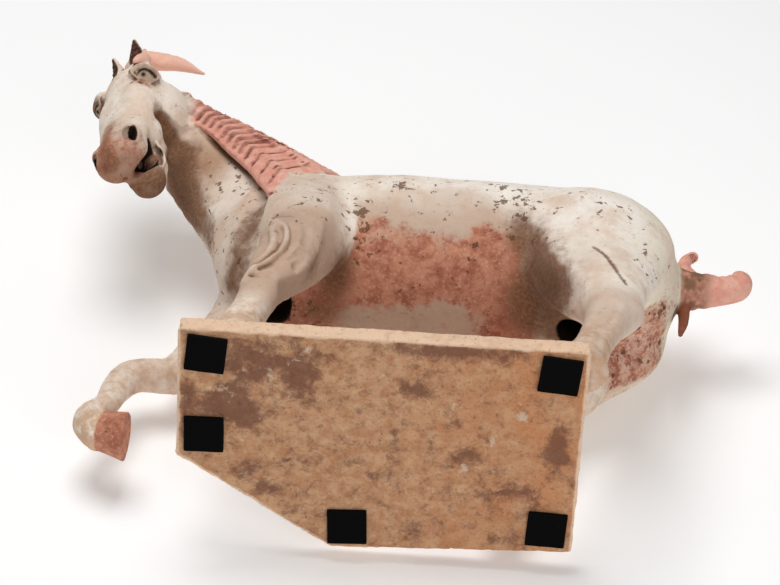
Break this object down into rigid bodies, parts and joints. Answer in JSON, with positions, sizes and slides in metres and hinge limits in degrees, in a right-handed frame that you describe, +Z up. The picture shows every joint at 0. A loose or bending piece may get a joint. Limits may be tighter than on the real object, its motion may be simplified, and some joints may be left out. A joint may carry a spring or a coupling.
{
  "type": "pottery tomb horse on a slab",
  "caption": "Prancing horse of painted pottery with raised foreleg, turned head and cut-cornered slab on felt pads.",
  "frame": {"origin": "middle of the whole model's footprint box, on the plane that the felt pads rest on", "axes": "+Z up; +X towards the tail, so the horse faces -X; its left flank faces -Y"},
  "size_m": [0.5976, 0.2078, 0.5205],
  "materials": {
    "painted_pottery": "unglazed buff clay under worn white slip with pink paint and burial dirt, matt",
    "felt": "black pressed felt, matt"
  },
  "bodies": {
    "root": {"horse": "painted_pottery", "felt_pad_1": "felt", "felt_pad_2": "felt", "felt_pad_3": "felt", "felt_pad_4": "felt", "felt_pad_5": "felt"}
  },
  "joints": []
}
